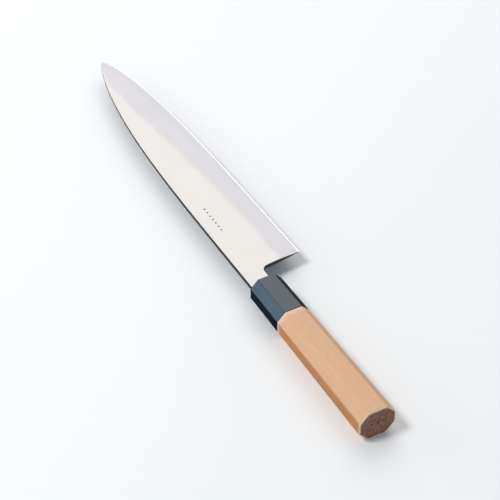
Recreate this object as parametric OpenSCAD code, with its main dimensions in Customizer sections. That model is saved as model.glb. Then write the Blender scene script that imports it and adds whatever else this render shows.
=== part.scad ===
// Chef knife with a laminated blade and an octagonal handle.
// It lies on its side: tip towards -X, cutting edge towards +Y, right face of the blade up.
// Each module works from the front face of the ferrule, on the axis of the handle.

/* [Blade] */
// Length of the cutting edge, from the heel corner to the tip
edge_l = 247; // [200:1:300]
// Height of the blade at the heel, from the spine to the cutting edge
heel_h = 45.9; // [40:0.1:56]
// Distance of the tip below the line of the spine
tip_drop = 22.6; // [16:0.1:28]
// Rise of the straight part of the cutting edge, from the heel to below the tip
edge_rise = 5.6; // [3:0.1:7]
// Thickness of the blade at the spine, where it enters the ferrule
spine_t = 3.6; // [3:0.1:4.2]
// Thickness at the spine line, level with the tip
tip_t = 1.6; // [1.4:0.1:2.4]
// Loss of thickness from the spine to the bevel line at the heel
flat_thinning = 0.4; // [0.2:0.1:0.6]
// Thickness of the hard steel layer in the middle
core_t = 0.8; // [0.6:0.1:1]

/* [Bevel] */
// Width of the bevel at the heel
bevel_w = 16.2; // [12:0.1:20]
// Distance behind the tip at which the bevel line meets the spine
bevel_end_l = 17.6; // [12:0.1:24]
// Width of the fine second bevel along the cutting edge
micro_w = 0.7; // [0.4:0.1:1.2]
// Thickness of the blade where the second bevel starts
micro_t = 0.4; // [0.3:0.05:0.5]
// Thickness left at the very edge
edge_t = 0.1; // [0.05:0.01:0.15]

/* [Neck and tang] */
// Gap from the ferrule to the heel corner
heel_gap = 18.9; // [16:0.1:26]
// How far the heel corner stands ahead of the foot of the heel
heel_lean = 2.1; // [1:0.1:5]
// Radius between the heel and the neck
choil_r = 5; // [3:0.5:7]
// Distance of the spine from the axis of the handle
spine_offset = 8.8; // [7.5:0.1:9]
// Height of the neck
neck_h = 15.2; // [13:0.1:16]
// How far the full neck stands inside the ferrule
neck_in = 5; // [3:0.5:6]
// Height of the tang behind the neck
tang_w = 11; // [9:0.1:12]
// Height of the tang at its end
tang_end_w = 6; // [4:0.1:8]
// Thickness of the tang at its end
tang_end_t = 2; // [1.6:0.1:2.8]
// Distance from the front of the ferrule to the end of the tang
tang_l = 112; // [80:1:125]

/* [Handle] */
// Length of the ferrule
ferrule_l = 36.4; // [30:0.1:42]
// Length of the wooden grip behind the ferrule
grip_l = 105.6; // [95:0.1:125]
// Width of the handle at the front of the ferrule
front_w = 23.3; // [22:0.1:27]
// Thickness of the handle at the front of the ferrule
front_h = 19.8; // [19:0.1:23]
// Width of the handle at its widest, just ahead of the chamfer of the butt
butt_w = 26.8; // [24:0.1:31]
// Thickness of the handle at its thickest, just ahead of the chamfer of the butt
butt_h = 23; // [20:0.1:27]
// Width of the top flat at the front of the ferrule
front_top_flat = 12.3; // [11:0.1:14]
// Height of the side flat at the front of the ferrule
front_side_flat = 7.9; // [7:0.1:9]
// Chamfer around the front of the ferrule
front_chamfer = 0.8; // [0.4:0.1:1.2]
// Chamfer around the butt
butt_chamfer = 1.5; // [0.8:0.1:2.5]
// Chamfer of each piece where the ferrule meets the grip
joint_chamfer = 0.3; // [0.1:0.1:0.5]

/* [Joint inside the handle] */
// Thickness of the front wall of the ferrule
ferrule_wall = 6; // [4:0.5:8]
// Radius of the round tenon of the grip
tenon_r = 7.4; // [6.8:0.1:7.6]
// Clearance around the tenon, and at its end
tenon_gap = 0.1; // [0.05:0.05:0.2]
// Clearance between the tang and its slot in the grip
tang_gap = 0.2; // [0.1:0.05:0.4]
// Room left in the grip past the end of the tang
tang_end_gap = 2; // [1:0.5:4]
// Clearance between the neck and its slot in the ferrule
slot_gap = 0.4; // [0.2:0.1:0.6]
// Depth of the resin seal in the slot of the ferrule
seal_l = 3; // [2:0.5:4]

/* [Hidden] */

// Shape of the curves: a higher power keeps the line straight for longer, a lower round blunts the end.
edge_power = 4.28;
edge_round = 0.66;
spine_power = 3.78;
spine_round = 0.81;
bevel_power = 1.3;
stations = 44;
crowding = 1.8;

// Places along the knife
heel_x = -heel_gap;
heel_foot_x = heel_x + heel_lean;
tip_x = heel_x - edge_l;
bevel_end_x = tip_x + bevel_end_l;
taper_x = -1;
tang_taper_l = tang_l - taper_x;
handle_l = ferrule_l + grip_l;

// Places across the knife
spine_y = -spine_offset;
heel_y = spine_y + heel_h;
tip_y = spine_y + tip_drop;
neck_y = spine_y + neck_h;

// Slopes of the flats of the blade and tang, which are planes
slope_y = -flat_thinning / 2 / (heel_h - bevel_w);
blade_slope_x = (spine_t - tip_t) / 2 / (taper_x - tip_x);
tang_slope_x = -(spine_t - tang_end_t) / 2 / tang_taper_l;

// Octagon of the handle: the chamfered corners keep one angle from end to end
corner_y = (front_w - front_top_flat) / 2;
corner_z = (front_h - front_side_flat) / 2;
corner_angle = atan2(corner_y, corner_z);
corner_reach = front_top_flat / 2 * cos(corner_angle) + front_h / 2 * sin(corner_angle);
bore_r = tenon_r + tenon_gap;

far = 400;
over = 1;
$fn = 96;

// The origin is at the middle of the knife's outline, level with the lowest part of the handle
to_origin = [-(tip_x + handle_l) / 2, -(heel_y - butt_w / 2) / 2, butt_h / 2];

function along(x, from, to) = min(max((x - from) / (to - from), 0), 1);
function curve(s, power, round) = 1 - pow(1 - pow(s, power), round);
function smooth(s) = s * s * (3 - 2 * s);

// The three lines of the blade, as heights at a place along it
function edge_line(x) = heel_y - edge_rise * along(x, heel_x, tip_x);
function edge_y(x) = edge_line(x)
    - (heel_y - edge_rise - tip_y) * curve(along(x, heel_x, tip_x), edge_power, edge_round);
function spine_at(x) = spine_y + tip_drop * curve(along(x, heel_x, tip_x), spine_power, spine_round);
function bevel_fall() = heel_y - bevel_w - spine_at(bevel_end_x);
function bevel_y(x) = max(spine_at(x), heel_y - bevel_w
    - bevel_fall() * smooth(pow(along(x, heel_x, bevel_end_x), bevel_power)));

// Half the thickness at the bevel line, which thins to nothing at the tip
function flat_z(x, y) = spine_t / 2 + blade_slope_x * (x - taper_x) + slope_y * (y - spine_y);
function tip_fade(x) = sqrt(along(x, tip_x, bevel_end_x));
function bevel_z(x) = edge_t / 2 + (flat_z(x, bevel_y(x)) - edge_t / 2) * tip_fade(x);

// Places along the blade, closer together towards the tip
function station(i) = tip_x + (heel_x - tip_x) * pow(1 - i / stations, crowding);

function edge_points() = [for (i = [0:stations]) [station(i), edge_y(station(i))]];
function spine_points() = [for (i = [stations - 1:-1:0]) [station(i), spine_at(station(i))]];
function choil_points() = [for (a = [270:-10:190])
    [heel_foot_x + choil_r + choil_r * cos(a), neck_y + choil_r + choil_r * sin(a)]];

// Outline of the blade and tang, seen on its flat
module outline() {
    polygon(concat(
        edge_points(),
        spine_points(),
        [
            [neck_in, spine_y],
            [neck_in, -tang_w / 2],
            [tang_l, -tang_end_w / 2],
            [tang_l, tang_end_w / 2],
            [neck_in, tang_w / 2],
            [neck_in, neck_y]
        ],
        choil_points()
    ));
}

// All that is under one of the flats, which slopes by slope_x along the knife
module under_flat(slope_x) {
    translate([taper_x, spine_y, spine_t / 2])
        rotate([atan(slope_y * cos(atan(slope_x))), -atan(slope_x), 0])
            translate([-far, -far, -far / 4]) cube([2 * far, 2 * far, far / 4]);
}

module within_flats() {
    intersection() {
        under_flat(blade_slope_x);
        under_flat(tang_slope_x);
        mirror([0, 0, 1]) under_flat(blade_slope_x);
        mirror([0, 0, 1]) under_flat(tang_slope_x);
    }
}

// A solid through sections that have the same number of points
module loft(sections) {
    sides = len(sections[0]);
    last = (len(sections) - 1) * sides;
    polyhedron(
        points = [for (section = sections) each section],
        faces = concat(
            [[for (k = [sides - 1:-1:0]) k]],
            [for (i = [0:len(sections) - 2], k = [0:sides - 1])
                let (a = i * sides + k, b = i * sides + (k + 1) % sides)
                    each [[a, b, b + sides], [a, b + sides, a + sides]]],
            [[for (k = [0:sides - 1]) last + k]]
        ),
        convexity = 4
    );
}

// Section of what the grinding of one bevel takes away, at a place along the blade
function bevel_section(x, at) =
    let (
        top_y = bevel_y(x),
        top_z = bevel_z(x),
        low_y = edge_y(x),
        mid_y = low_y - min(micro_w, 0.3 * (low_y - top_y)),
        mid_z = min(micro_t / 2, (top_z + edge_t / 2) / 2),
        wide = (top_z - mid_z) / (mid_y - top_y),
        fine = (mid_z - edge_t / 2) / (low_y - mid_y)
    )
    [
        [at, top_y - over, top_z + over * wide],
        [at, mid_y, mid_z],
        [at, low_y + over, edge_t / 2 - over * fine],
        [at, low_y + over, spine_t],
        [at, top_y - over, spine_t]
    ];

module bevel_grind() {
    near_tip = tip_x + 0.3;
    places = concat(
        [heel_foot_x + over],
        [for (i = [0:stations]) if (station(i) > near_tip) station(i)],
        [near_tip]
    );
    sections = concat(
        [for (x = places) bevel_section(min(x, heel_x), x)],
        [bevel_section(near_tip, tip_x - over)]
    );
    loft(sections);
}

// The blade and tang between two heights above the middle plane
module blade_layer(from, to) {
    difference() {
        intersection() {
            translate([0, 0, from]) linear_extrude(height = to - from) outline();
            within_flats();
        }
        bevel_grind();
        mirror([0, 0, 1]) bevel_grind();
    }
}

// Distance from the axis of the handle to a face, which grows evenly towards the butt
function reach(front, butt, x) = front + (butt - front) * x / (handle_l - butt_chamfer);

// Section of the handle at x, with every face set in by inset
function octagon_section(x, inset) =
    let (
        half_w = reach(front_w, butt_w, x) / 2 - inset,
        half_h = reach(front_h, butt_h, x) / 2 - inset,
        corner = reach(corner_reach, corner_reach * butt_w / front_w, x) - inset,
        top = (corner - half_h * sin(corner_angle)) / cos(corner_angle),
        side = (corner - half_w * cos(corner_angle)) / sin(corner_angle)
    )
    [
        [x, -half_w, -side],
        [x, -half_w, side],
        [x, -top, half_h],
        [x, top, half_h],
        [x, half_w, side],
        [x, half_w, -side],
        [x, top, -half_h],
        [x, -top, -half_h]
    ];

// A length of the octagonal handle, chamfered at both ends
module octagon(x0, x1, chamfer0, chamfer1) {
    loft([
        octagon_section(x0, chamfer0),
        octagon_section(x0 + chamfer0, 0),
        octagon_section(x1 - chamfer1, 0),
        octagon_section(x1, chamfer1)
    ]);
}

module along_x(x0, x1, r) {
    translate([x0, 0, 0]) rotate([0, 90, 0]) cylinder(h = x1 - x0, r = r);
}

// The slot through the front wall of the ferrule, which the tang passes and the neck fills
module neck_slot(x0, x1) {
    low = min(spine_y, -tang_w / 2) - slot_gap;
    high = max(neck_y, tang_w / 2) + slot_gap;
    translate([x0, low, -spine_t / 2 - slot_gap])
        cube([x1 - x0, high - low, spine_t + 2 * slot_gap]);
}

// Half the height and half the thickness of the tang, tapering to its end
function tang_half_w(x) = (tang_w + (tang_end_w - tang_w) * (x - neck_in) / (tang_l - neck_in)) / 2;
function tang_half_t(x) = spine_t / 2 + tang_slope_x * (x - taper_x);

// A wedge through the whole knife, with straight sides at half(x0) and half(x1) from its middle
module wedge(x0, x1, half0, half1) {
    linear_extrude(height = far / 4, center = true)
        polygon([[x0, -half0], [x1, -half1], [x1, half1], [x0, half0]]);
}

// The slot in the grip that the tang stands in
module tang_slot() {
    end = tang_l + tang_end_gap;
    intersection() {
        wedge(neck_in, end, tang_half_w(neck_in) + tang_gap, tang_half_w(end) + tang_gap);
        rotate([90, 0, 0])
            wedge(neck_in, end, tang_half_t(neck_in) + tang_gap, tang_half_t(end) + tang_gap);
    }
}

module cladding_right() {
    color([0.87, 0.86, 0.85]) translate(to_origin) blade_layer(core_t / 2, spine_t);
}

module core_steel() {
    color([0.78, 0.79, 0.83]) translate(to_origin) blade_layer(-core_t / 2, core_t / 2);
}

module cladding_left() {
    color([0.82, 0.82, 0.82]) translate(to_origin) blade_layer(-spine_t, -core_t / 2);
}

module ferrule() {
    color([0.14, 0.17, 0.22]) translate(to_origin) difference() {
        octagon(0, ferrule_l, front_chamfer, joint_chamfer);
        along_x(ferrule_wall, ferrule_l + over, bore_r);
        neck_slot(-over, ferrule_wall + over);
    }
}

module grip() {
    color([0.88, 0.7, 0.52]) translate(to_origin) difference() {
        union() {
            octagon(ferrule_l, handle_l, joint_chamfer, butt_chamfer);
            along_x(ferrule_wall + tenon_gap, ferrule_l + over, tenon_r);
        }
        tang_slot();
    }
}

module mouth_seal() {
    color([0.06, 0.06, 0.07]) translate(to_origin) difference() {
        neck_slot(0, seal_l);
        intersection() {
            linear_extrude(height = 2 * spine_t, center = true) outline();
            within_flats();
        }
    }
}

cladding_right();
core_steel();
cladding_left();
ferrule();
grip();
mouth_seal();
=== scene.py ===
"""Looks of a Japanese chef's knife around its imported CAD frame: laminated blade, horn ferrule, wooden grip.

Shapes are worked out in millimetres in the knife's own frame. X runs from the front of the ferrule to the
butt, Y from the spine to the cutting edge, and Z up out of the middle plane of the blade.
"""

import math

import bmesh
import bpy
import numpy as np
from mathutils import Matrix, Vector


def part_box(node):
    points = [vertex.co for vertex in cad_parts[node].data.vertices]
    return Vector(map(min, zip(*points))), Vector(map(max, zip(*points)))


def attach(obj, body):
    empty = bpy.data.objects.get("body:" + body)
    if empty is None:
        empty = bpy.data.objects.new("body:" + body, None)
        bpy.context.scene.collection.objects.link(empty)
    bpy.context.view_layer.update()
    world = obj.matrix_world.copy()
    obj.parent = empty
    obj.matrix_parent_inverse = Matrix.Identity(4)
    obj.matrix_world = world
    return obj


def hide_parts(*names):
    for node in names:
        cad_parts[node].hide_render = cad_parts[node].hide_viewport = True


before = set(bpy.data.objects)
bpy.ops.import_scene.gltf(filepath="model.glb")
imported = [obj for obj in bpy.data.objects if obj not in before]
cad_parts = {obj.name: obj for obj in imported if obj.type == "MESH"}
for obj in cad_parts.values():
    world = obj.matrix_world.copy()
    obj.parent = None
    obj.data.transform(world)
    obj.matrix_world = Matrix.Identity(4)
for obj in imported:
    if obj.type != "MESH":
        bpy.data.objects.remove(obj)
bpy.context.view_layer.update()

MM = 0.001
BODY = "root"
TINY = 1e-9
NEAR = 1e-6

# ---------------------------------------------------------------- sizes that the frame gives, in mm
core_low, core_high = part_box("core_steel")
clad_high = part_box("cladding_right")[1]
ferrule_low, ferrule_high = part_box("ferrule")
grip_low, grip_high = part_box("grip")
seal_low, seal_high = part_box("mouth_seal")
ORIGIN = Vector((ferrule_low.x, (grip_low.y + grip_high.y) / 2, (core_low.z + core_high.z) / 2))


def own(place):
    """A place of the scene, in the knife's own frame and in mm."""
    return (place - ORIGIN) / MM


TIP_X = own(core_low).x
TANG_L = own(core_high).x
SPINE_Y = own(core_low).y
HEEL_Y = own(core_high).y
CORE_T = 2 * own(core_high).z
SPINE_T = 2 * own(clad_high).z
FERRULE_L = own(ferrule_high).x
HANDLE_L = own(grip_high).x
BUTT_W = 2 * own(grip_high).y
BUTT_H = 2 * own(grip_high).z
SEAL_L = own(seal_high).x
SLOT_LOW, SLOT_HIGH = own(seal_low).y, own(seal_high).y
SLOT_HALF_T = own(seal_high).z
TENON_X = own(grip_low).x

# ---------------------------------------------------------------- sizes that repeat the CAD's, in mm
HEEL_GAP, HEEL_LEAN, CHOIL_R = 18.9, 2.1, 5.0
TIP_DROP, EDGE_RISE = 22.6, 5.6
TIP_T, FLAT_THINNING = 1.6, 0.4
BEVEL_W, BEVEL_END_L = 16.2, 17.6
MICRO_W, MICRO_SHARE, MICRO_T, EDGE_T = 0.7, 0.3, 0.4, 0.1
NECK_H, NECK_IN = 15.2, 5.0
TANG_W, TANG_END_W, TANG_END_T = 11.0, 6.0, 2.0
FRONT_W, FRONT_H, FRONT_TOP_FLAT, FRONT_SIDE_FLAT = 23.3, 19.8, 12.3, 7.9
FRONT_CHAMFER, JOINT_CHAMFER, BUTT_CHAMFER = 0.8, 0.3, 1.5
FERRULE_WALL, TENON_R, TENON_GAP, TANG_GAP, TANG_END_GAP = 6.0, 7.4, 0.1, 0.2, 2.0
TAPER_X = -1.0
EDGE_POWER, EDGE_ROUND = 4.28, 0.66
SPINE_POWER, SPINE_ROUND = 3.78, 0.81
BEVEL_POWER = 1.3

HEEL_X = -HEEL_GAP
FOOT_X = HEEL_X + HEEL_LEAN
BEVEL_END_X = TIP_X + BEVEL_END_L
TIP_Y = SPINE_Y + TIP_DROP
NECK_Y = SPINE_Y + NECK_H
FOOT_Y = NECK_Y + CHOIL_R
SLOPE_Y = -FLAT_THINNING / 2 / (HEEL_Y - SPINE_Y - BEVEL_W)
BLADE_SLOPE = (SPINE_T - TIP_T) / 2 / (TAPER_X - TIP_X)
TANG_SLOPE = -(SPINE_T - TANG_END_T) / 2 / (TANG_L - TAPER_X)


# ---------------------------------------------------------------- lines and surface of the blade
def along(x, start, end):
    """How far x is from start to end, as a share held between 0 and 1."""
    return np.clip((x - start) / (end - start), 0, 1)


def curve(s, power, blunt):
    return 1 - (1 - s**power) ** blunt


def smooth(s):
    return s * s * (3 - 2 * s)


def edge_y(x):
    s = along(x, HEEL_X, TIP_X)
    straight = HEEL_Y - EDGE_RISE * s
    return straight - (HEEL_Y - EDGE_RISE - TIP_Y) * curve(s, EDGE_POWER, EDGE_ROUND)


def spine_y(x):
    return SPINE_Y + TIP_DROP * curve(along(x, HEEL_X, TIP_X), SPINE_POWER, SPINE_ROUND)


def ridge_y(x):
    """The line where the bevel meets the flat."""
    start = HEEL_Y - BEVEL_W
    fall = start - spine_y(BEVEL_END_X)
    line = start - fall * smooth(along(x, HEEL_X, BEVEL_END_X) ** BEVEL_POWER)
    return np.maximum(spine_y(x), line)


def flat_z(x, y):
    """Half the thickness between the flats, which are planes that taper along the blade and the tang."""
    taper = np.minimum(BLADE_SLOPE * (x - TAPER_X), TANG_SLOPE * (x - TAPER_X))
    return SPINE_T / 2 + taper + SLOPE_Y * (y - SPINE_Y)


def ridge_z(x):
    """Half the thickness at the ridge, which thins to nothing at the tip."""
    fade = np.sqrt(along(x, TIP_X, BEVEL_END_X))
    return EDGE_T / 2 + (flat_z(x, ridge_y(x)) - EDGE_T / 2) * fade


def micro_y(x):
    """The line where the fine second bevel starts."""
    return edge_y(x) - np.minimum(MICRO_W, MICRO_SHARE * (edge_y(x) - ridge_y(x)))


def micro_z(x):
    """Half the thickness where the second bevel starts."""
    return np.minimum(MICRO_T / 2, (ridge_z(x) + EDGE_T / 2) / 2)


def half_t(x, y):
    """Half the thickness of the blade at a place on it. Behind the heel the bevel runs on unchanged."""
    at = min(x, HEEL_X)
    low, mid, top = float(edge_y(at)), float(micro_y(at)), float(ridge_y(at))
    if y <= top and x > BEVEL_END_X:
        return float(flat_z(x, y))
    if y <= mid:
        part = (y - top) / max(mid - top, TINY)
        return float(ridge_z(at) + (micro_z(at) - ridge_z(at)) * min(max(part, 0), 1))
    part = (y - mid) / max(low - mid, TINY)
    return float(micro_z(at) + (EDGE_T / 2 - micro_z(at)) * min(part, 1))


HALVINGS = 60


def clad_front():
    """Where the blade is as thin as its core, found by halving: the cladding starts there."""
    low, high = TIP_X, BEVEL_END_X
    for _ in range(HALVINGS):
        middle = (low + high) / 2
        if ridge_z(middle) < CORE_T / 2:
            low = middle
        else:
            high = middle
    return high


CLAD_X = clad_front()


# Height, length and phase of each of the lamination line's waves, and the run over which they set in
WAVES = ((0.34, 9.7, 0.0), (0.22, 4.3, 1.1), (0.12, 1.9, 0.4))
WAVES_IN = 25


def lamination_y(x):
    """The line on the bevel where the cladding ends and the core comes out, waved as forging leaves it."""
    if x <= CLAD_X:
        return float(spine_y(x))
    at = min(x, HEEL_X)
    share = (ridge_z(at) - CORE_T / 2) / (ridge_z(at) - micro_z(at))
    line = ridge_y(at) + share * (micro_y(at) - ridge_y(at))
    wave = sum(height * math.sin(at / length + phase) for height, length, phase in WAVES)
    return float(line + wave * smooth(along(at, CLAD_X, CLAD_X + WAVES_IN)))


# ---------------------------------------------------------------- flat grid under the layers of the blade
STATIONS, CROWDING, STATION_GAP = 150, 1.7, 0.25
RIDGE_BAND, BAND_SHARE = 0.7, 0.3
NECK_ROWS, FLAT_ROWS, BEVEL_ROWS, CORE_ROWS, MICRO_ROWS = 8, 5, 7, 6, 2
HEEL_BLEND = 14
CHOIL_STEPS = 9
NECK_PLACES = (-9.5, -7, -4.5, -2, 0, 2.5, NECK_IN)
TANG_STEPS = 12


def blade_stations():
    """Places from tip to heel, crowded at the tip, with one at the start of the cladding and of the flat."""
    plain = [TIP_X + (HEEL_X - TIP_X) * (i / STATIONS) ** CROWDING for i in range(STATIONS + 1)]
    kept = [x for x in plain if min(abs(x - CLAD_X), abs(x - BEVEL_END_X)) > STATION_GAP]
    return sorted(kept + [CLAD_X, BEVEL_END_X])


def row_heights(x):
    """Heights of the grid's rows at a place along the blade, with the number of the lamination row."""
    spine, ridge = float(spine_y(x)), float(ridge_y(x))
    seam, mid, low = lamination_y(x), float(micro_y(x)), float(edge_y(x))
    above = ridge - min(RIDGE_BAND, BAND_SHARE * (ridge - spine))
    below = ridge + min(RIDGE_BAND, BAND_SHARE * max(seam - ridge, 0))
    heel_above = float(ridge_y(HEEL_X)) - RIDGE_BAND
    neck_share = (FOOT_Y - SPINE_Y) / (heel_above - SPINE_Y)
    shares = [neck_share * k / NECK_ROWS for k in range(NECK_ROWS + 1)]
    shares += [neck_share + (1 - neck_share) * k / FLAT_ROWS for k in range(1, FLAT_ROWS + 1)]
    rows = [spine + (above - spine) * s for s in shares] + [ridge]
    if seam > ridge:
        rows += [below + (seam - below) * k / BEVEL_ROWS for k in range(BEVEL_ROWS + 1)]
    else:
        rows += [seam] * (BEVEL_ROWS + 1)
    seam_row = len(rows) - 1
    rows += [seam + (mid - seam) * k / CORE_ROWS for k in range(1, CORE_ROWS + 1)]
    rows += [mid + (low - mid) * k / MICRO_ROWS for k in range(1, MICRO_ROWS + 1)]
    return rows, seam_row


def heel_x(y):
    """The slanted end of the blade."""
    return FOOT_X + (HEEL_X - FOOT_X) * min(max((y - FOOT_Y) / (HEEL_Y - FOOT_Y), 0), 1)


class Grid:
    """Points in the blade's plane and the cells between them. Points that meet are one point."""

    def __init__(self):
        self.points, self.found, self.cells = [], {}, []

    def point(self, x, y):
        key = (round(x, 4), round(y, 4))
        if key not in self.found:
            self.found[key] = len(self.points)
            self.points.append((x, y))
        return self.found[key]

    def strip(self, left, right):
        """Cells between two columns of points."""
        for k in range(len(left) - 1):
            corners = []
            for p in (left[k], right[k], right[k + 1], left[k + 1]):
                if p not in corners:
                    corners.append(p)
            if len(corners) > 2:
                self.cells.append(corners)

    def border(self):
        """The edges that belong to one cell only, in order of that cell."""
        uses = {}
        for cell in self.cells:
            for a, b in zip(cell, cell[1:] + cell[:1]):
                uses.setdefault(frozenset((a, b)), []).append((a, b))
        return [found[0] for found in uses.values() if len(found) == 1]


def blade_grid(first_x, clad):
    """The grid of one layer: the whole blade, or only what the cladding covers."""
    grid = Grid()
    column = None
    for x in blade_stations():
        if x < first_x - NEAR:
            continue
        weight = float(smooth(along(x, HEEL_X - HEEL_BLEND, HEEL_X)))
        rows, seam_row = row_heights(x)
        if clad:
            rows = rows[: seam_row + 1]
        new = [grid.point(x + weight * (heel_x(y) - HEEL_X), y) for y in rows]
        if column:
            grid.strip(column, new)
        column = new
    column = column[: NECK_ROWS + 1]
    shares = [k / NECK_ROWS for k in range(NECK_ROWS + 1)]
    ends = [SPINE_Y] + [TANG_W * (k / (NECK_ROWS - 2) - 0.5) for k in range(NECK_ROWS - 1)] + [NECK_Y]
    places = []
    for step in range(1, CHOIL_STEPS + 1):
        turn = math.pi + math.pi / 2 * step / CHOIL_STEPS
        places.append((FOOT_X + CHOIL_R * (1 + math.cos(turn)), NECK_Y + CHOIL_R * (1 + math.sin(turn))))
    choil_end = FOOT_X + CHOIL_R
    places += [(x, NECK_Y) for x in NECK_PLACES]
    for x, low in places:
        part = max((x - choil_end) / (NECK_IN - choil_end), 0)
        new = []
        for k, share in enumerate(shares):
            even = SPINE_Y + (low - SPINE_Y) * share
            new.append(grid.point(x, even + (ends[k] - even) * part))
        grid.strip(column, new)
        column = new
    column = column[1:-1]
    for step in range(1, TANG_STEPS + 1):
        x = NECK_IN + (TANG_L - NECK_IN) * step / TANG_STEPS
        half = tang_half_w(x)
        last = len(column) - 1
        new = [grid.point(x, half * (2 * k / last - 1)) for k in range(last + 1)]
        grid.strip(column, new)
        column = new
    return grid


def tang_half_w(x):
    return (TANG_W + (TANG_END_W - TANG_W) * (x - NECK_IN) / (TANG_L - NECK_IN)) / 2


def tang_half_t(x):
    return SPINE_T / 2 + TANG_SLOPE * (x - TAPER_X)


# ---------------------------------------------------------------- meshes
def placed(points):
    """Points in mm of the knife's own frame as places of the scene."""
    return [ORIGIN + Vector(p) * MM for p in points]


def closed_mesh(name, points, faces):
    """A mesh from points in mm, its faces all turned outwards."""
    mesh = bpy.data.meshes.new(name)
    mesh.from_pydata(placed(points), [], faces)
    work = bmesh.new()
    work.from_mesh(mesh)
    bmesh.ops.recalc_face_normals(work, faces=work.faces)
    work.to_mesh(mesh)
    work.free()
    return mesh


def make_piece(name, points, faces, node, material):
    """A closed mesh as a piece of the object that stands for a CAD node."""
    mesh = closed_mesh(name, points, faces)
    mesh.shade_smooth()
    piece = bpy.data.objects.new(name, mesh)
    bpy.context.scene.collection.objects.link(piece)
    mesh.materials.append(material)
    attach(piece, BODY)
    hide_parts(node)
    return piece


def keep_sharp(piece, degrees):
    """Shades a piece with a hard edge wherever its faces meet at more than an angle."""
    piece.data.set_sharp_from_angle(angle=math.radians(degrees))


FLAT_WEIGHT = 85


def keep_flats_flat(piece):
    weighted = piece.modifiers.new("flat faces", "WEIGHTED_NORMAL")
    weighted.mode = "FACE_AREA"
    weighted.weight = FLAT_WEIGHT
    weighted.keep_sharp = True


EASE_STEPS = 4
BLADE_SHARP = 25


def layer(name, node, material, clad, side):
    """One layer of the blade: side 1 is the right cladding, -1 the left one, and 0 the core."""
    grid = blade_grid(CLAD_X if clad else TIP_X, clad)
    tops, lows, is_seam = [], [], []
    for x, y in grid.points:
        blade = half_t(x, y)
        on_blade = x < FOOT_X and y >= lamination_y(x) - NEAR
        if clad:
            tops.append(blade)
            lows.append(blade if on_blade else CORE_T / 2)
        else:
            tops.append(blade if on_blade else CORE_T / 2)
            lows.append(-tops[-1])
        is_seam.append(clad and on_blade)
    points, faces = layer_skin(grid, tops, lows, is_seam, clad)
    if side < 0:
        points = [(x, y, -z) for x, y, z in points]
    piece = make_piece(name, points, faces, node, material)
    if side > 0:
        row = [(MARK_X + MARK_STEP * k, MARK_Y) for k in MARKS]
        punch(piece, [(x, y, half_t(x, y)) for x, y in row], (0, 0, -1), MARK_RADIUS, MARK_DEPTH)
    keep_sharp(piece, BLADE_SHARP)
    keep_flats_flat(piece)
    mark_grind(piece)


def layer_skin(grid, tops, lows, is_seam, clad):
    """Points and faces of a closed layer: its top, its underside and the wall along its border. The two
    sides share their points at the seam, and the cladding's outer corner is eased."""
    border = grid.border()
    eased = ease_border(grid, border, tops, lows) if clad else {}
    points = []
    for k, (x, y) in enumerate(grid.points):
        dx, dy, ease = eased.get(k, (0, 0, 0))
        points.append((x + dx * ease, y + dy * ease, tops[k]))
    low_index = list(range(len(points)))
    for k, (x, y) in enumerate(grid.points):
        if not is_seam[k]:
            low_index[k] = len(points)
            points.append((x, y, lows[k]))
    rings = {}
    for k in {p for edge in border for p in edge}:
        chain = [k]
        dx, dy, ease = eased.get(k, (0, 0, 0))
        if ease > 0:
            x, y = grid.points[k]
            for step in range(1, EASE_STEPS + 1):
                turn = math.pi / 2 * step / EASE_STEPS
                away = ease * (1 - math.sin(turn))
                chain.append(len(points))
                points.append((x + dx * away, y + dy * away, tops[k] - ease * (1 - math.cos(turn))))
        if low_index[k] != k:
            chain.append(low_index[k])
        rings[k] = chain
    faces = [list(cell) for cell in grid.cells]
    for cell in grid.cells:
        low = []
        for k in reversed(cell):
            if low_index[k] not in low:
                low.append(low_index[k])
        if len(low) > 2:
            faces.append(low)
    for a, b in border:
        faces += wall(rings[a], rings[b])
    return points, faces


def wall(left, right):
    """Faces between two chains of points that run down the side of a layer."""
    faces = []
    a, b = list(left), list(right)
    while len(a) > 1 or len(b) > 1:
        if len(a) > 1 and len(b) > 1 and len(a) == len(b):
            corners = [a[0], a[1], b[1], b[0]]
            a, b = a[1:], b[1:]
        elif len(a) > len(b):
            corners = [a[0], a[1], b[0]]
            a = a[1:]
        else:
            corners = [a[0], b[1], b[0]]
            b = b[1:]
        if len(set(corners)) > 2:
            faces.append(corners)
    return faces


# Radius of the eased corner, its most as a share of the thickness, the least worth making, and the limits of
# what is stretched at a corner of the outline, is thick enough to ease and counts as outside the handle
SPINE_EASE, EASE_SHARE, EASE_LEAST = 0.32, 0.45, 0.01
EASE_STRETCH, THIN, EASE_END = 0.5, 0.12, 0.6


def ease_border(grid, border, tops, lows):
    """For each border point, the way into the layer and the radius that eases its outer corner. None is
    eased where the layer is thin, nor inside the handle."""
    inward = {}
    for a, b in border:
        run = Vector(grid.points[b]) - Vector(grid.points[a])
        if run.length < TINY:
            continue
        normal = Vector((-run.y, run.x)).normalized()
        for k in (a, b):
            inward.setdefault(k, []).append(normal)
    eased = {}
    for k, normals in inward.items():
        thick = tops[k] - lows[k]
        total = sum(normals, Vector((0, 0)))
        if total.length < NEAR or thick < THIN:
            continue
        away = total.normalized()
        fade = float(smooth(along(grid.points[k][0], EASE_END, -EASE_END)))
        ease = min(SPINE_EASE, EASE_SHARE * thick) * fade
        if ease > EASE_LEAST:
            stretch = 1 / max(away.dot(normals[0]), EASE_STRETCH)
            eased[k] = (away.x * stretch, away.y * stretch, ease)
    return eased


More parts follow.
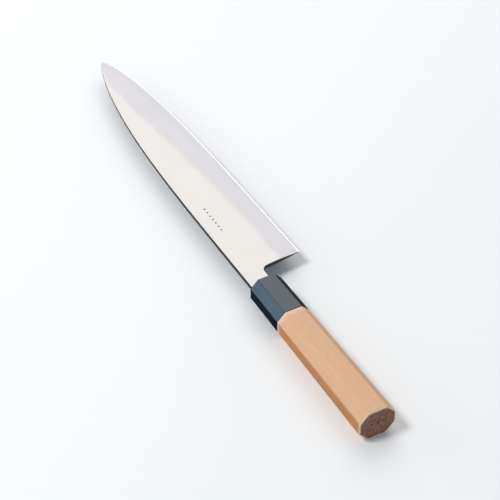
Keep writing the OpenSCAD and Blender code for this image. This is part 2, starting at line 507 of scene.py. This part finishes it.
# Pits are round, with a floor narrower than the mouth. One row is on the right flat and one on the butt.
# PIT_DARK is how near a point is to the middle of a floor, in mouth radii, to be dark: in the blade's pits
# that dark is painted shade, in the butt's it is the burned brand.
PIT_SIDES = 16
PIT_FLOOR, PIT_DARK = 0.65, 0.8
MARKS, MARK_RADIUS, MARK_DEPTH = range(-3, 4), 0.7, 0.2
MARK_X, MARK_Y, MARK_STEP = -74.0, 1.2, 4.0
BUTT_PITS, BUTT_PIT_RADIUS, BUTT_PIT_DEPTH = range(-1, 2), 1.05, 0.35
BUTT_PIT_STEP, BUTT_PIT_Z = 4.4, 0.6


def punch(piece, mouths, inward, radius, depth):
    """Sinks small round pits into a piece, and tells its material which points lie at their floors."""
    inward = Vector(inward)
    across = inward.orthogonal().normalized()
    over = inward.cross(across)
    points, faces = [], []
    for mouth in mouths:
        first = len(points)
        slope = radius * (1 - PIT_FLOOR) / depth
        for level, wide in ((-depth, radius + slope * depth), (depth, radius * PIT_FLOOR)):
            for k in range(PIT_SIDES):
                turn = 2 * math.pi * k / PIT_SIDES
                arm = (across * math.cos(turn) + over * math.sin(turn)) * wide
                points.append(Vector(mouth) + inward * level + arm)
        top = [first + k for k in range(PIT_SIDES)]
        low = [k + PIT_SIDES for k in top]
        faces += [top, low]
        faces += [[top[k - 1], top[k], low[k], low[k - 1]] for k in range(PIT_SIDES)]
    cut(piece, points, faces)
    floors = [Vector(mouth) + inward * depth for mouth in mouths]
    deep = piece.data.attributes.new("pit", "FLOAT", "POINT")
    for k, vertex in enumerate(piece.data.vertices):
        spot = own(vertex.co)
        near = min((spot - floor).length for floor in floors)
        deep.data[k].value = float(near < radius * PIT_DARK)


def mark_grind(piece):
    """Tells the steel's material how many mm each point is past the ridge, and from the cutting edge."""
    mesh = piece.data
    past_ridge = mesh.attributes.new("past_ridge", "FLOAT", "POINT")
    from_edge = mesh.attributes.new("from_edge", "FLOAT", "POINT")
    for k, vertex in enumerate(mesh.vertices):
        spot = own(vertex.co)
        at = min(spot.x, HEEL_X)
        past_ridge.data[k].value = float(spot.y - ridge_y(at))
        from_edge.data[k].value = float(edge_y(at) - spot.y)


# ---------------------------------------------------------------- handle
CORNER_ANGLE = math.atan2((FRONT_W - FRONT_TOP_FLAT) / 2, (FRONT_H - FRONT_SIDE_FLAT) / 2)
CORNER_REACH = FRONT_TOP_FLAT / 2 * math.cos(CORNER_ANGLE) + FRONT_H / 2 * math.sin(CORNER_ANGLE)
SIDES = 8
CORNER_STEPS = 5
FACE_STEPS = 6
RING = SIDES * (CORNER_STEPS + FACE_STEPS)
RING_CORNER = 0.5
CAP_SHARES = (0.72, 0.44, 0.18)


def reach(front, butt, x):
    """A size of the octagon at x, which grows evenly from the front of the ferrule to the butt."""
    return front + (butt - front) * x / (HANDLE_L - BUTT_CHAMFER)


def octagon_corners(x, inset):
    """The corners of the handle's section at x as Y and Z, with every face set in by inset."""
    half_w = reach(FRONT_W, BUTT_W, x) / 2 - inset
    half_h = reach(FRONT_H, BUTT_H, x) / 2 - inset
    corner = reach(CORNER_REACH, CORNER_REACH * BUTT_W / FRONT_W, x) - inset
    top = (corner - half_h * math.sin(CORNER_ANGLE)) / math.cos(CORNER_ANGLE)
    side = (corner - half_w * math.cos(CORNER_ANGLE)) / math.sin(CORNER_ANGLE)
    quarter = [(half_w, side), (top, half_h)]
    left = [(-y, z) for y, z in reversed(quarter)]
    upper = quarter + left
    return upper + [(-y, -z) for y, z in upper]


def octagon_ring(x, inset, radius):
    """The section of the handle at x, its corners rounded, as RING points."""
    corners = [Vector(c) for c in octagon_corners(x, inset)]
    arcs = []
    for k, corner in enumerate(corners):
        before = (corners[k - 1] - corner).normalized()
        after = (corners[(k + 1) % SIDES] - corner).normalized()
        half = before.angle(after) / 2
        centre = corner + (before + after).normalized() * (radius / math.sin(half))
        start = corner + before * (radius / math.tan(half)) - centre
        turn = math.pi - 2 * half
        for step in range(CORNER_STEPS + 1):
            angle = turn * step / CORNER_STEPS
            c, s = math.cos(angle), math.sin(angle)
            arcs.append(centre + Vector((start.x * c - start.y * s, start.x * s + start.y * c)))
    ring = []
    for k in range(SIDES):
        first = k * (CORNER_STEPS + 1)
        ring += arcs[first : first + CORNER_STEPS + 1]
        end, begin = arcs[first + CORNER_STEPS], arcs[(first + CORNER_STEPS + 1) % len(arcs)]
        ring += [end.lerp(begin, step / FACE_STEPS) for step in range(1, FACE_STEPS)]
    return [(x, p.x, p.y) for p in ring]


def circle_ring(x, radius):
    """A circle that starts where the octagon's ring does."""
    first = octagon_ring(0, 0, RING_CORNER)[0]
    start = math.atan2(first[2], first[1])
    turns = [start + 2 * math.pi * k / RING for k in range(RING)]
    return [(x, radius * math.cos(t), radius * math.sin(t)) for t in turns]


def slot_ring(x, half_w, half_t):
    """A rectangle as a ring, its corners at the middles of the octagon's slanted faces."""
    first = CORNER_STEPS + FACE_STEPS // 2
    quarter = RING // 4
    corners = [(half_w, half_t), (-half_w, half_t), (-half_w, -half_t), (half_w, -half_t)]
    ring = [None] * RING
    for k, (y0, z0) in enumerate(corners):
        y1, z1 = corners[(k + 1) % 4]
        for n in range(quarter):
            part = n / quarter
            ring[(first + k * quarter + n) % RING] = (x, y0 + (y1 - y0) * part, z0 + (z1 - z0) * part)
    return ring


def loft(rings, closed=False):
    """Points and faces of a skin through rings of the same length."""
    points = [p for ring in rings for p in ring]
    size = len(rings[0])
    faces = []
    for r in range(len(rings) if closed else len(rings) - 1):
        here, there = r * size, (r + 1) % len(rings) * size
        for k in range(size):
            n = (k + 1) % size
            faces.append([here + k, here + n, there + n, there + k])
    return points, faces


def cap(points, faces, first, centre):
    """Closes the ring that starts at point first, with rows of faces that shrink towards its middle."""
    ring = [first + k for k in range(RING)]
    middle = Vector(centre)
    for share in CAP_SHARES:
        inner = []
        for k in range(RING):
            inner.append(len(points))
            points.append(tuple(middle + (Vector(points[first + k]) - middle) * share))
        for k in range(RING):
            n = (k + 1) % RING
            faces.append([ring[k], ring[n], inner[n], inner[k]])
        ring = inner
    tip = len(points)
    points.append(tuple(middle))
    for k in range(RING):
        faces.append([ring[k], ring[(k + 1) % RING], tip])


def rim(x, depth, radius, towards, steps):
    """Rings that round an end of a handle piece, from its inset end face at x to its full body at depth."""
    rings = []
    for step in range(steps + 1):
        turn = math.pi / 2 * step / steps
        at = x + towards * depth * (1 - math.cos(turn))
        rings.append(octagon_ring(at, depth * (1 - math.sin(turn)), radius))
    return rings


def between(first, last, count):
    """Places that divide a run into equal lengths, without its ends."""
    return [first + (last - first) * k / count for k in range(1, count)]


# Radii of the corners between the faces: on the horn, at the front of the wood and at the butt
HORN_CORNER, WOOD_CORNER, BUTT_CORNER = 0.7, 1.2, 4.0
WOOD_FRONT_EASE, TENON_EASE = 0.6, 0.4
# Least angle in degrees that is shaded as a hard edge, and the numbers of rings in each stretch
HORN_SHARP, WOOD_SHARP, RESIN_SHARP = 40, 50, 40
FRONT_STEPS, BACK_STEPS, BUTT_STEPS = 5, 3, 7
HORN_RINGS, SLOT_RINGS, TENON_RINGS, WOOD_RINGS = 12, 8, 5, 24


def ferrule(material):
    """The horn: an octagonal body, bored for the tenon and slotted for the neck."""
    places = between(FRONT_CHAMFER, FERRULE_L - JOINT_CHAMFER, HORN_RINGS)
    rings = rim(0, FRONT_CHAMFER, HORN_CORNER, 1, FRONT_STEPS)
    rings += [octagon_ring(x, 0, HORN_CORNER) for x in places]
    rings += rim(FERRULE_L, JOINT_CHAMFER, HORN_CORNER, -1, BACK_STEPS)[::-1]
    points, faces = loft(rings)
    cap(points, faces, 0, (0, 0, 0))
    cap(points, faces, (len(rings) - 1) * RING, (FERRULE_L, 0, 0))
    piece = make_piece("horn_ferrule", points, faces, "ferrule", material)
    bore_r = TENON_R + TENON_GAP
    bore, bore_faces = loft([circle_ring(FERRULE_WALL, bore_r), circle_ring(FERRULE_L + 1, bore_r)])
    bore_faces += [list(range(RING)), list(range(RING, 2 * RING))]
    cut(piece, bore, bore_faces)
    slot, slot_faces = block((-1, SLOT_LOW, -SLOT_HALF_T), (FERRULE_WALL + 1, SLOT_HIGH, SLOT_HALF_T))
    cut(piece, slot, slot_faces)
    keep_sharp(piece, HORN_SHARP)
    keep_flats_flat(piece)


def block(low, high):
    """Points and faces of a box between two corners."""
    points = [(x, y, z) for x in (low[0], high[0]) for y in (low[1], high[1]) for z in (low[2], high[2])]
    return points, [[0, 1, 3, 2], [4, 6, 7, 5], [0, 4, 5, 1], [2, 3, 7, 6], [0, 2, 6, 4], [1, 5, 7, 3]]


def cut(piece, points, faces):
    """Takes a solid out of a piece, and leaves the piece's own mesh changed."""
    mesh = closed_mesh("cutter", points, faces)
    tool = bpy.data.objects.new("cutter", mesh)
    bpy.context.scene.collection.objects.link(tool)
    boolean = piece.modifiers.new("cut", "BOOLEAN")
    boolean.operation = "DIFFERENCE"
    boolean.solver = "EXACT"
    boolean.object = tool
    seen = bpy.context.evaluated_depsgraph_get()
    result = bpy.data.meshes.new_from_object(piece.evaluated_get(seen))
    piece.modifiers.remove(boolean)
    old, piece.data = piece.data, result
    result.name = piece.name
    bpy.data.meshes.remove(old)
    bpy.data.objects.remove(tool)
    bpy.data.meshes.remove(mesh)


def grip(material):
    """The wood as one skin: out of the tang's slot, over the tenon, along the body and round the butt."""
    end_x = TANG_L + TANG_END_GAP
    rings = []
    for x in [end_x] + between(end_x, TENON_X, SLOT_RINGS) + [TENON_X]:
        rings.append(slot_ring(x, tang_half_w(x) + TANG_GAP, tang_half_t(x) + TANG_GAP))
    tenon_start = TENON_X + TENON_EASE
    rings.append(circle_ring(TENON_X, TENON_R - TENON_EASE))
    for x in [tenon_start] + between(tenon_start, FERRULE_L, TENON_RINGS) + [FERRULE_L]:
        rings.append(circle_ring(x, TENON_R))
    rings += rim(FERRULE_L, WOOD_FRONT_EASE, WOOD_CORNER, 1, FRONT_STEPS)
    for x in between(FERRULE_L + WOOD_FRONT_EASE, HANDLE_L - BUTT_CHAMFER, WOOD_RINGS):
        round_off = WOOD_CORNER + (BUTT_CORNER - WOOD_CORNER) * float(along(x, FERRULE_L, HANDLE_L))
        rings.append(octagon_ring(x, 0, round_off))
    rings += rim(HANDLE_L, BUTT_CHAMFER, BUTT_CORNER, -1, BUTT_STEPS)[::-1]
    points, faces = loft(rings)
    faces.append(list(range(len(points) - RING, len(points))))
    cap(points, faces, 0, (end_x, 0, 0))
    piece = make_piece("wooden_grip", points, faces, "grip", material)
    mouths = [(HANDLE_L, BUTT_PIT_STEP * k, BUTT_PIT_Z) for k in BUTT_PITS]
    punch(piece, mouths, (-1, 0, 0), BUTT_PIT_RADIUS, BUTT_PIT_DEPTH)
    keep_sharp(piece, WOOD_SHARP)
    mark_rims(piece)
    keep_flats_flat(piece)


# Middle of the painted highlight on the rim at the front of the wood, behind its end, and how far it reaches
# to each side
FRONT_RIM, FRONT_RIM_REACH = 0.35, 0.95


def mark_rims(piece):
    """Tells the wood's material how near each point is to the eased front end or the rounded butt, where it
    paints a highlight.
    """
    half = BUTT_CHAMFER / 2
    near = piece.data.attributes.new("rim", "FLOAT", "POINT")
    for k, vertex in enumerate(piece.data.vertices):
        x = own(vertex.co).x
        front = 1 - abs(x - FERRULE_L - FRONT_RIM) / FRONT_RIM_REACH
        butt = 1 - abs(x - HANDLE_L + half) / half
        near.data[k].value = min(max(front, butt, 0), 1)


# Section of the seal: place along the knife, and share of the way from the neck to the wall of the slot
SEAL_SECTION = ((SEAL_L, 0), (SEAL_L, 1), (0.1, 1), (0, 0.9), (0.12, 0.5), (0, 0.1), (0.1, 0))
SEAL_STEPS = 10


def mouth_seal(material):
    """The ring of resin between the neck and the slot, its front face sunk a little in the middle."""
    up = [k / SEAL_STEPS for k in range(SEAL_STEPS + 1)]
    rings = []
    for x, share in SEAL_SECTION:
        low, high = SPINE_Y + (SLOT_LOW - SPINE_Y) * share, NECK_Y + (SLOT_HIGH - NECK_Y) * share
        path = []
        for side, parts in ((1, up), (-1, up[::-1])):
            for part in parts:
                neck = half_t(min(x, 0), SPINE_Y + (NECK_Y - SPINE_Y) * part)
                half = neck + (SLOT_HALF_T - neck) * share
                path.append((x, low + (high - low) * part, side * half))
        rings.append(path)
    points, faces = loft(rings, closed=True)
    keep_sharp(make_piece("mouth_resin", points, faces, "mouth_seal", material), RESIN_SHARP)


# ---------------------------------------------------------------- materials
class Shader:
    """A principled material whose patterns are built from the piece's own coordinates."""

    def __init__(self, name):
        self.material = bpy.data.materials.new(name)
        self.material.use_nodes = True
        self.tree = self.material.node_tree
        self.tree.nodes.clear()
        out = self.tree.nodes.new("ShaderNodeOutputMaterial")
        self.skin = self.tree.nodes.new("ShaderNodeBsdfPrincipled")
        self.tree.links.new(self.skin.outputs["BSDF"], out.inputs["Surface"])
        self.place = self.tree.nodes.new("ShaderNodeTexCoord")

    def put(self, socket, value):
        """Sets a socket to a number or a colour, or links it to another node's output."""
        if isinstance(value, bpy.types.NodeSocket):
            self.tree.links.new(value, socket)
        elif isinstance(value, (tuple, list)) and len(value) == 3 and len(socket.default_value) == 4:
            socket.default_value = (*value, 1)
        else:
            socket.default_value = value

    def set(self, **values):
        """Sets inputs of the principled shader, named with _ for each space."""
        for name, value in values.items():
            self.put(self.skin.inputs[name.replace("_", " ")], value)

    def math(self, operation, a, b=0.0):
        node = self.tree.nodes.new("ShaderNodeMath")
        node.operation = operation
        for socket, value in zip(node.inputs, (a, b)):
            self.put(socket, value)
        return node.outputs[0]

    def scaled(self, x, y, z):
        """The piece's coordinates in metres, times a scale for each axis."""
        node = self.tree.nodes.new("ShaderNodeMapping")
        node.inputs["Scale"].default_value = (x, y, z)
        self.put(node.inputs["Vector"], self.place.outputs["Object"])
        return node.outputs[0]

    def noise(self, x, y, z, detail, rough, twist=0.0):
        """Noise with about x, y and z bumps to the metre along each axis."""
        node = self.tree.nodes.new("ShaderNodeTexNoise")
        self.put(node.inputs["Vector"], self.scaled(x, y, z))
        values = {"Scale": 1.0, "Detail": detail, "Roughness": rough, "Distortion": twist}
        for name, value in values.items():
            node.inputs[name].default_value = value
        return node.outputs["Fac"]

    def spread(self, value, low, high, start=0.0, end=1.0):
        """Maps value from start..end to low..high, held at both ends."""
        node = self.tree.nodes.new("ShaderNodeMapRange")
        for name, number in (("From Min", start), ("From Max", end), ("To Min", low), ("To Max", high)):
            node.inputs[name].default_value = number
        self.put(node.inputs["Value"], value)
        return node.outputs["Result"]

    def mix(self, amount, a, b, blend="MIX"):
        node = self.tree.nodes.new("ShaderNodeMix")
        node.data_type = "RGBA"
        node.blend_type = blend
        self.put(node.inputs["Factor"], amount)
        self.put(node.inputs[6], a)
        self.put(node.inputs[7], b)
        return node.outputs[2]

    def grey(self, value):
        """The same value as red, green and blue."""
        node = self.tree.nodes.new("ShaderNodeCombineColor")
        for socket in node.inputs:
            self.put(socket, value)
        return node.outputs[0]

    def split(self, vector):
        """The X, Y and Z of a vector."""
        node = self.tree.nodes.new("ShaderNodeSeparateXYZ")
        self.put(node.inputs[0], vector)
        return node.outputs

    def attribute(self, name):
        node = self.tree.nodes.new("ShaderNodeAttribute")
        node.attribute_name = name
        return node.outputs["Fac"]

    def bump(self, height, depth_mm, strength):
        node = self.tree.nodes.new("ShaderNodeBump")
        node.inputs["Strength"].default_value = strength
        node.inputs["Distance"].default_value = depth_mm * MM
        self.put(node.inputs["Height"], height)
        self.put(self.skin.inputs["Normal"], node.outputs["Normal"])


# Most noise stays within this band
NOISE_LOW, NOISE_HIGH = 0.3, 0.7
CLAD_FLAT, CLAD_BEVEL, CLAD_ROUGH = (0.506, 0.480, 0.460), (0.486, 0.466, 0.486), (0.40, 0.46)
CORE_FLAT, CORE_BEVEL, CORE_ROUGH = (0.44, 0.432, 0.43), (0.466, 0.446, 0.462), (0.40, 0.45)
# The second colour on this line is painted shade for the floors of the pits
EDGE_BRIGHT, STEEL_PIT_SHADE = (0.68, 0.68, 0.68), (0.05, 0.046, 0.044)
# How far the hand-ground ridge wanders to each side, and where the flat's look ends and the bevel's is full
RIDGE_WANDER, RIDGE_FROM, RIDGE_TO = 1.3, -1.6, 2.0
MICRO_BLUR = 0.06


def steel(name, flat, bevel, roughness):
    """Stone-finished steel: fine lines along the blade, a duller bevel and a bright second bevel."""
    s = Shader(name)
    lines = s.noise(160, 9000, 2000, 2.0, 0.6)
    cloud = s.noise(45, 70, 70, 3.0, 0.5)
    hand = s.noise(110, 160, 160, 3.0, 0.6)
    wander = s.spread(hand, -RIDGE_WANDER, RIDGE_WANDER, NOISE_LOW, NOISE_HIGH)
    onto = s.spread(s.math("ADD", s.attribute("past_ridge"), wander), 0.0, 1.0, RIDGE_FROM, RIDGE_TO)
    fine = s.spread(lines, 0.965, 1.02, NOISE_LOW, NOISE_HIGH)
    soft = s.spread(cloud, 0.985, 1.015, NOISE_LOW, NOISE_HIGH)
    micro = s.spread(s.attribute("from_edge"), 1.0, 0.0, MICRO_W - MICRO_BLUR, MICRO_W + MICRO_BLUR)
    colour = s.mix(micro, s.mix(onto, flat, bevel), EDGE_BRIGHT)
    # Painted shade: the floors of the pits are painted nearly black
    colour = s.mix(s.attribute("pit"), colour, STEEL_PIT_SHADE)
    colour = s.mix(1.0, colour, s.grey(s.math("MULTIPLY", fine, soft)), "MULTIPLY")
    grain = s.spread(lines, -0.03, 0.03, NOISE_LOW, NOISE_HIGH)
    rough = s.math("ADD", s.spread(onto, roughness[0], roughness[1]), grain)
    rough = s.math("MULTIPLY", rough, s.spread(micro, 1.0, 0.6))
    s.set(Base_Color=colour, Metallic=1.0, Roughness=rough)
    s.bump(lines, 0.002, 0.5)
    return s.material


# The last colour tints the horn's reflections: a painted blue reflection
HORN_BLACK, HORN_FIBRE, HORN_PAINTED_BLUE_REFLECTION = (0.004, 0.008, 0.015), (0.024, 0.032, 0.044), (0.80, 0.92, 1.0)


def horn(name):
    """Polished black buffalo horn: faint blue-grey fibres along the handle under a glossy skin, its
    reflections tinted with a painted blue.
    """
    s = Shader(name)
    fibre = s.noise(60, 1500, 1500, 4.0, 0.6, 0.3)
    cloud = s.noise(30, 120, 120, 2.0, 0.5)
    fibres, clouds = s.spread(fibre, 0.0, 1.0, 0.45, 0.75), s.spread(cloud, 0.0, 1.0, 0.4, 0.7)
    colour = s.mix(s.math("MULTIPLY", fibres, clouds), HORN_BLACK, HORN_FIBRE)
    rough = s.spread(fibre, 0.24, 0.34, NOISE_LOW, NOISE_HIGH)
    s.set(Base_Color=colour, Roughness=rough, Specular_IOR_Level=0.8, Specular_Tint=HORN_PAINTED_BLUE_REFLECTION)
    s.bump(fibre, 0.004, 0.35)
    return s.material


# Middle of the tree in mm, as Y and Z, the width of a year's ring and how far the rings wander
TREE_Y, TREE_Z, YEAR, RING_DRIFT = 34.0, -52.0, 4.6, 3.5
WOOD_PALE, WOOD_DEEP = (0.735, 0.430, 0.248), (0.60, 0.33, 0.17)
WOOD_STREAK, WOOD_MOTTLE, WOOD_PORE = (0.63, 0.350, 0.185), (0.81, 0.495, 0.305), (0.50, 0.275, 0.145)
# Painted shade for the side faces, a painted highlight for the rims, and the colour of the brand burned into
# the butt's pits
WOOD_SIDE_SHADE, WOOD_RIM_HIGHLIGHT, WOOD_PIT = (0.77, 0.56, 0.37), (0.93, 0.72, 0.56), (0.030, 0.018, 0.012)
# Colours of the butt's end face, kept dark partly as end grain is and partly as painted shade
END_LIGHT, END_DARK = (0.405, 0.205, 0.122), (0.228, 0.109, 0.065)
END_PATCH, END_RING = (0.150, 0.069, 0.042), (0.14, 0.075, 0.047)


def ho_wood(name):
    """Unfinished magnolia: faint rings and fine pores along the grip, painted shade on the side faces, a
    painted highlight on the rims, and end grain darker partly as end grain is and partly as painted shade.
    """
    s = Shader(name)
    spot = s.split(s.scaled(1 / MM, 1 / MM, 1 / MM))
    drift = s.noise(9, 60, 60, 3.0, 0.5)
    y = s.math("ADD", spot["Y"], s.spread(drift, -RING_DRIFT, RING_DRIFT, 0.2, 0.8))
    dy, dz = s.math("SUBTRACT", y, TREE_Y), s.math("SUBTRACT", spot["Z"], TREE_Z)
    away = s.math("SQRT", s.math("ADD", s.math("MULTIPLY", dy, dy), s.math("MULTIPLY", dz, dz)))
    turn = s.math("FRACT", s.math("DIVIDE", away, YEAR))
    ring = s.math("MULTIPLY", s.spread(turn, 0.0, 1.0, 0.1, 0.95), s.spread(turn, 1.0, 0.0, 0.93, 1.0))
    fibre = s.noise(260, 3400, 3400, 3.0, 0.6)
    streak = s.noise(20, 420, 420, 4.0, 0.6)
    mottle = s.noise(300, 700, 700, 3.0, 0.6)
    colour = s.mix(s.math("MULTIPLY", ring, 0.14), WOOD_PALE, WOOD_DEEP)
    colour = s.mix(s.spread(streak, 0.0, 0.30, 0.40, 0.75), colour, WOOD_STREAK)
    colour = s.mix(s.spread(mottle, 0.0, 0.55, 0.46, 0.74), colour, WOOD_MOTTLE)
    colour = s.mix(s.spread(fibre, 0.0, 0.45, 0.54, 0.74), colour, WOOD_PORE)
    face = s.split(s.tree.nodes.new("ShaderNodeNewGeometry").outputs["Normal"])
    # Painted shade: faces that turn to either side have their colour multiplied towards a darker orange
    side_shade = s.spread(s.math("ABSOLUTE", face["Y"]), 0.0, 1.0, 0.76, 0.98)
    colour = s.mix(side_shade, colour, s.mix(1.0, colour, WOOD_SIDE_SHADE, "MULTIPLY"))
    # The end faces are darker, partly as end grain is and partly as painted shade of the butt's face
    across = s.spread(s.math("ABSOLUTE", face["X"]), 0.0, 1.0, 0.80, 0.97)
    speck = s.noise(2600, 2600, 2600, 4.0, 0.7)
    patch = s.noise(420, 420, 420, 3.0, 0.6)
    end = s.mix(s.spread(speck, 0.0, 1.0, 0.35, 0.7), END_LIGHT, END_DARK)
    end = s.mix(s.spread(patch, 0.0, 0.85, 0.42, 0.66), end, END_PATCH)
    end = s.mix(s.math("MULTIPLY", ring, 0.22), end, END_RING)
    colour = s.mix(across, colour, end)
    # Painted highlight: the eased front rim and the rounded butt are painted paler
    rim_highlight = s.math("MULTIPLY", s.attribute("rim"), s.spread(mottle, 0.55, 0.85, NOISE_LOW, NOISE_HIGH))
    colour = s.mix(rim_highlight, colour, WOOD_RIM_HIGHLIGHT)
    colour = s.mix(s.attribute("pit"), colour, WOOD_PIT)
    rough = s.spread(streak, 0.5, 0.62, NOISE_LOW, NOISE_HIGH)
    s.set(Base_Color=colour, Roughness=rough, Specular_IOR_Level=0.35)
    s.bump(fibre, 0.02, 0.4)
    return s.material


RESIN_DARK, RESIN_LIGHT = (0.006, 0.006, 0.007), (0.02, 0.02, 0.022)


def resin(name):
    """Hard black resin, slightly grainy and half dull."""
    s = Shader(name)
    grain = s.noise(900, 900, 900, 2.0, 0.5)
    s.set(Base_Color=s.mix(grain, RESIN_DARK, RESIN_LIGHT), Roughness=0.42)
    s.bump(grain, 0.02, 0.4)
    return s.material


# ---------------------------------------------------------------- scene around the knife
def aim(obj, at, roll=0.0):
    """Points an object's -Z at a place, with its top towards +Z, then rolls it."""
    away = (obj.location - Vector(at)).normalized()
    facing = away.to_track_quat("Z", "Y").to_matrix()
    obj.rotation_euler = (facing @ Matrix.Rotation(roll, 3, "Z")).to_euler()


CAMERA_AIM = Vector((0.02553, -0.00296, 0.0115))
CAMERA_AZIMUTH, CAMERA_ELEVATION, CAMERA_ROLL = 60.224, 42.745, 0.413
CAMERA_DISTANCE, CAMERA_LENS = 1.7, 181.77
SENSOR, CAMERA_REACH = 36, 20
FLOOR_SIZE, FLOOR_COLOUR = 12, (0.94, 0.94, 0.94)


def direction(azimuth, elevation):
    """The way out from the knife at an azimuth from -Y towards +X, and an elevation, both in degrees."""
    a, e = math.radians(azimuth), math.radians(elevation)
    return Vector((math.sin(a) * math.cos(e), -math.cos(a) * math.cos(e), math.sin(e)))


def add_camera():
    data = bpy.data.cameras.new("camera")
    data.lens = CAMERA_LENS
    data.sensor_width = SENSOR
    data.clip_end = CAMERA_REACH
    camera = bpy.data.objects.new("camera", data)
    bpy.context.scene.collection.objects.link(camera)
    camera.location = CAMERA_AIM + direction(CAMERA_AZIMUTH, CAMERA_ELEVATION) * CAMERA_DISTANCE
    aim(camera, CAMERA_AIM, math.radians(CAMERA_ROLL))
    bpy.context.scene.camera = camera


def add_light(name, azimuth, elevation, distance, size, radiance, colour):
    """A soft box of a size in metres that faces the knife, whose face shines as bright as radiance."""
    data = bpy.data.lights.new(name, "AREA")
    data.shape = "RECTANGLE"
    data.size, data.size_y = size
    data.energy = radiance * math.pi * size[0] * size[1]
    data.color = colour
    light = bpy.data.objects.new(name, data)
    bpy.context.scene.collection.objects.link(light)
    light.location = CAMERA_AIM + direction(azimuth, elevation) * distance
    aim(light, CAMERA_AIM)


# Name, azimuth and elevation in degrees, distance in metres, size, radiance and colour of each light
LIGHTS = (
    ("reflected_card", -120, 42, 2.4, (2.4, 2.2), 1.8, (1.0, 0.985, 0.965)),
    ("overhead_key", -14, 57, 2.6, (0.7, 0.7), 21.0, (1.0, 0.98, 0.95)),
    ("cool_fill", -42, 20, 1.6, (1.05, 0.45), 2.6, (0.60, 0.82, 1.0)),
)


def add_floor():
    """A pale floor that reflections don't see, so that they see the dark below it."""
    bpy.ops.mesh.primitive_plane_add(size=FLOOR_SIZE, location=(0, 0, 0))
    floor = bpy.context.object
    floor.name = "floor"
    s = Shader("pale floor")
    s.set(Base_Color=FLOOR_COLOUR, Roughness=0.8, Specular_IOR_Level=0.1)
    floor.data.materials.append(s.material)
    floor.visible_glossy = False


ROOM_COLOUR = (0.80, 0.90, 1.0)
# Height, from -1 straight down to 1 straight up, and brightness of the room there
ROOM = [(-0.30, 0.05), (0.0, 0.70), (0.22, 0.70), (0.50, 0.40), (1.0, 0.20)]


def add_world():
    """A pale room above the horizon that fades to darkness below it."""
    world = bpy.data.worlds.new("studio")
    world.use_nodes = True
    tree = world.node_tree
    back = tree.nodes["Background"]
    back.inputs["Color"].default_value = (*ROOM_COLOUR, 1)
    split = tree.nodes.new("ShaderNodeSeparateXYZ")
    tree.links.new(tree.nodes.new("ShaderNodeTexCoord").outputs["Generated"], split.inputs[0])
    level = tree.nodes.new("ShaderNodeMapRange")
    level.inputs["From Min"].default_value = -1.0
    tree.links.new(split.outputs["Z"], level.inputs["Value"])
    ramp = tree.nodes.new("ShaderNodeValToRGB")
    tree.links.new(level.outputs["Result"], ramp.inputs["Fac"])
    stops = ramp.color_ramp.elements
    for _ in ROOM[len(stops):]:
        stops.new(0.5)
    for stop, (height, strength) in zip(stops, ROOM):
        stop.position = (height + 1) / 2
        stop.color = (strength, strength, strength, 1)
    tree.links.new(ramp.outputs["Color"], back.inputs["Strength"])
    bpy.context.scene.world = world
    bpy.context.scene.view_settings.view_transform = "Standard"


add_camera()
cladding_steel = steel("cladding steel", CLAD_FLAT, CLAD_BEVEL, CLAD_ROUGH)
core_metal = steel("core steel", CORE_FLAT, CORE_BEVEL, CORE_ROUGH)
layer("blade_cladding_right", "cladding_right", cladding_steel, True, 1)
layer("blade_core", "core_steel", core_metal, False, 0)
layer("blade_cladding_left", "cladding_left", cladding_steel, True, -1)
ferrule(horn("buffalo horn"))
grip(ho_wood("ho wood"))
mouth_seal(resin("resin"))
add_floor()
add_world()
for light in LIGHTS:
    add_light(*light)
